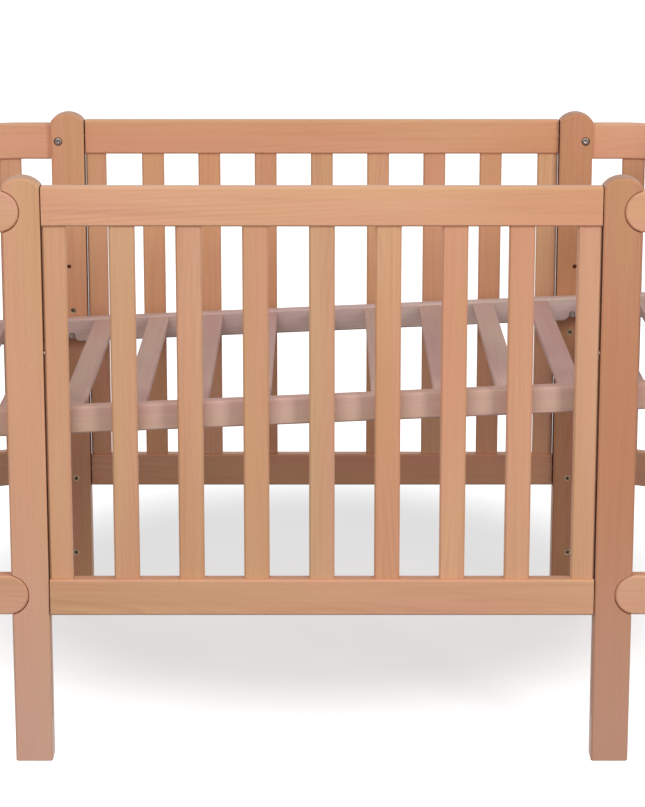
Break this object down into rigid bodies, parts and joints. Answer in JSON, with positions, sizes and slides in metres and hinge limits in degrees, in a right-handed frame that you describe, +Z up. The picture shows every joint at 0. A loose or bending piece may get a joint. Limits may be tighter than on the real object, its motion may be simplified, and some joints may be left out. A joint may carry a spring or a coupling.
{
  "type": "crib",
  "caption": "Beech crib with crowned posts, slatted sides of which the front one drops, bent rail ends let into the posts, and a slatted lift-off base.",
  "frame": {"origin": "on the floor, under the middle of the crib", "axes": "+X to the right along the crib's length, +Y from the front side to the back side, +Z up"},
  "size_m": [1.246, 0.672, 0.8499],
  "materials": {
    "post_beech": "satin lacquered beech",
    "side_beech": "satin lacquered beech",
    "end_beech": "satin lacquered bent beech",
    "base_beech": "sanded, without lacquer",
    "bolt_steel": "zinc-plated hex-socket bolts",
    "insert_steel": "zinc-plated inserts",
    "pin_steel": "bright steel pins"
  },
  "bodies": {
    "crib_frame": {"post_front_left": "post_beech", "post_front_right": "post_beech", "post_back_left": "post_beech", "post_back_right": "post_beech", "back_top_rail": "side_beech", "back_bottom_rail": "side_beech", "back_slat_1": "side_beech", "back_slat_2": "side_beech", "back_slat_3": "side_beech", "back_slat_4": "side_beech", "back_slat_5": "side_beech", "back_slat_6": "side_beech", "back_slat_7": "side_beech", "back_slat_8": "side_beech", "back_slat_9": "side_beech", "left_end_top_rail": "end_beech", "left_end_bottom_rail": "end_beech", "left_end_slat_1": "end_beech", "left_end_slat_2": "end_beech", "left_end_slat_3": "end_beech", "left_end_slat_4": "end_beech", "left_end_slat_5": "end_beech", "left_end_slat_6": "end_beech", "left_end_slat_7": "end_beech", "left_end_slat_8": "end_beech", "left_end_slat_9": "end_beech", "right_end_top_rail": "end_beech", "right_end_bottom_rail": "end_beech", "right_end_slat_1": "end_beech", "right_end_slat_2": "end_beech", "right_end_slat_3": "end_beech", "right_end_slat_4": "end_beech", "right_end_slat_5": "end_beech", "right_end_slat_6": "end_beech", "right_end_slat_7": "end_beech", "right_end_slat_8": "end_beech", "right_end_slat_9": "end_beech", "end_rail_bolts": "bolt_steel", "base_bolts": "bolt_steel", "threaded_inserts": "insert_steel", "back_side_pins": "pin_steel"},
    "drop_side": {"front_top_rail": "side_beech", "front_bottom_rail": "side_beech", "front_slat_1": "side_beech", "front_slat_2": "side_beech", "front_slat_3": "side_beech", "front_slat_4": "side_beech", "front_slat_5": "side_beech", "front_slat_6": "side_beech", "front_slat_7": "side_beech", "front_slat_8": "side_beech", "front_slat_9": "side_beech", "guide_pins": "pin_steel"},
    "base": {"base_front_rail": "base_beech", "base_back_rail": "base_beech", "base_slats": "base_beech", "base_left_end_board": "base_beech", "base_right_end_board": "base_beech"}
  },
  "joints": [
    {"name": "front_side_drop", "type": "slide", "parent": "crib_frame", "child": "drop_side", "axis": [0, 0, 1], "range_m": [-0.18, 0]},
    {"name": "base_lift", "type": "slide", "parent": "crib_frame", "child": "base", "axis": [0, 0, 1], "range_m": [0, 0.24]}
  ]
}
